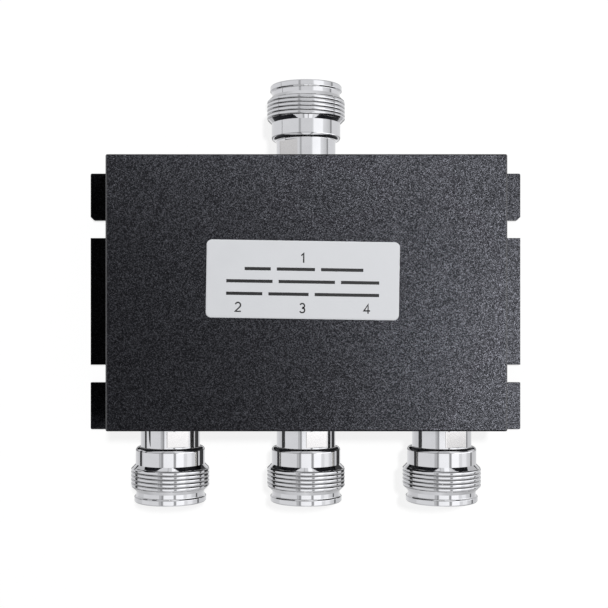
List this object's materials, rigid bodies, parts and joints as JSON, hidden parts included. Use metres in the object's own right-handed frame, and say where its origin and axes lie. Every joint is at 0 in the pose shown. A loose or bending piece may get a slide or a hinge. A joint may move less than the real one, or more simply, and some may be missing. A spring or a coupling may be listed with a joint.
{
  "type": "rf power splitter",
  "caption": "Flat coated housing on an eared back plate, with a threaded coaxial input jack on one edge and a row of output jacks on the other, for dividing a radio signal.",
  "frame": {"origin": "middle of the part's footprint, on the back face of the plate", "axes": "+X along the row of outputs, +Y towards the input jack, +Z from the plate to the label"},
  "size_m": [0.116, 0.1068, 0.0242],
  "materials": {
    "black_coat": "fine-textured black powder coat on aluminium",
    "label_film": "satin silver-grey polyester film",
    "jack_plating": "bright white-metal plating on turned brass",
    "insulator_white": "smooth white fluoropolymer",
    "contact_silver": "silver-plated brass",
    "screw_steel": "zinc-plated steel",
    "laminate": "glass-reinforced circuit laminate",
    "copper": "bare copper strip",
    "chip_ceramic": "white ceramic chip",
    "solder": "bright solder"
  },
  "bodies": {
    "root": {"housing": "black_coat", "back_plate": "black_coat", "label": "label_film", "cover_screws": "screw_steel", "circuit_board": "laminate", "strip_lines": "copper", "isolation_resistors": "chip_ceramic", "solder_joints": "solder", "board_screws": "screw_steel", "input_body": "jack_plating", "input_insulator": "insulator_white", "input_contact": "contact_silver", "output_1_body": "jack_plating", "output_1_insulator": "insulator_white", "output_1_contact": "contact_silver", "output_2_body": "jack_plating", "output_2_insulator": "insulator_white", "output_2_contact": "contact_silver", "output_3_body": "jack_plating", "output_3_insulator": "insulator_white", "output_3_contact": "contact_silver"}
  },
  "joints": []
}
